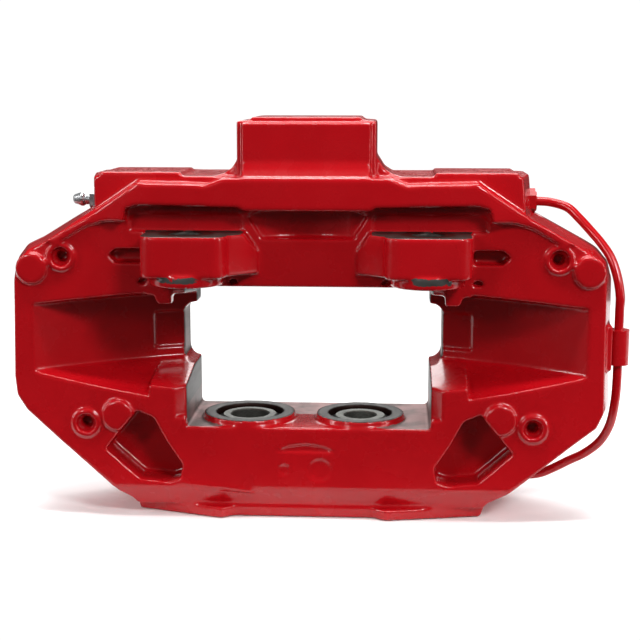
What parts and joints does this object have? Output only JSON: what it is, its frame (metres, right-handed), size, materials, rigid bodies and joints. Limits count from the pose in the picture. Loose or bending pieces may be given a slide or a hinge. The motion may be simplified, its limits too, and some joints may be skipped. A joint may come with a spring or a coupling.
{
  "type": "brake caliper",
  "caption": "Fixed brake caliper with opposed pistons, axial mounting ears, a bleeder screw and a crossover pipe round one end.",
  "frame": {"origin": "midway between the two mounting ear bolt axes, on the ears' inboard faces", "axes": "+Z along the ear bolts and piston axes, pointing inboard; +X along the disc's rim; +Y away from the hub"},
  "size_m": [0.3284, 0.1017, 0.212],
  "materials": {
    "red_body_paint": "gloss red paint over cast aluminium, with bare machined faces",
    "piston_metal": "turned and anodised, satin grey",
    "boot_rubber": "matt black rubber",
    "seal_rubber": "matt black rubber",
    "bleeder_steel": "zinc plated steel",
    "red_pipe_paint": "gloss red paint over steel"
  },
  "bodies": {
    "caliper": {"caliper_body": "red_body_paint", "seal_inboard_left": "seal_rubber", "seal_inboard_right": "seal_rubber", "seal_outboard_left": "seal_rubber", "seal_outboard_right": "seal_rubber", "dust_boot_inboard_left": "boot_rubber", "dust_boot_inboard_right": "boot_rubber", "dust_boot_outboard_left": "boot_rubber", "dust_boot_outboard_right": "boot_rubber", "crossover_pipe": "red_pipe_paint", "pipe_nut_inboard": "red_pipe_paint", "pipe_nut_outboard": "red_pipe_paint", "pipe_clip": "red_pipe_paint"},
    "bleeder": {"bleeder_screw": "bleeder_steel"},
    "piston_inboard_left": {"piston_inboard_left": "piston_metal"},
    "piston_inboard_right": {"piston_inboard_right": "piston_metal"},
    "piston_outboard_left": {"piston_outboard_left": "piston_metal"},
    "piston_outboard_right": {"piston_outboard_right": "piston_metal"}
  },
  "joints": [
    {"name": "piston_slide_inboard_left", "type": "slide", "parent": "caliper", "child": "piston_inboard_left", "axis": [0, 0, -1], "range_m": [0, 0.012], "deforming": ["dust_boot_inboard_left"]},
    {"name": "piston_slide_inboard_right", "type": "slide", "parent": "caliper", "child": "piston_inboard_right", "axis": [0, 0, -1], "range_m": [0, 0.012], "deforming": ["dust_boot_inboard_right"]},
    {"name": "piston_slide_outboard_left", "type": "slide", "parent": "caliper", "child": "piston_outboard_left", "axis": [0, 0, 1], "range_m": [0, 0.012], "deforming": ["dust_boot_outboard_left"]},
    {"name": "piston_slide_outboard_right", "type": "slide", "parent": "caliper", "child": "piston_outboard_right", "axis": [0, 0, 1], "range_m": [0, 0.012], "deforming": ["dust_boot_outboard_right"]},
    {"name": "bleeder_turn", "type": "hinge", "parent": "caliper", "child": "bleeder", "pos_m": [-0.116, 0.0465, 0.0135], "axis": [-1, 0, 0], "range_deg": [0, 360]}
  ]
}
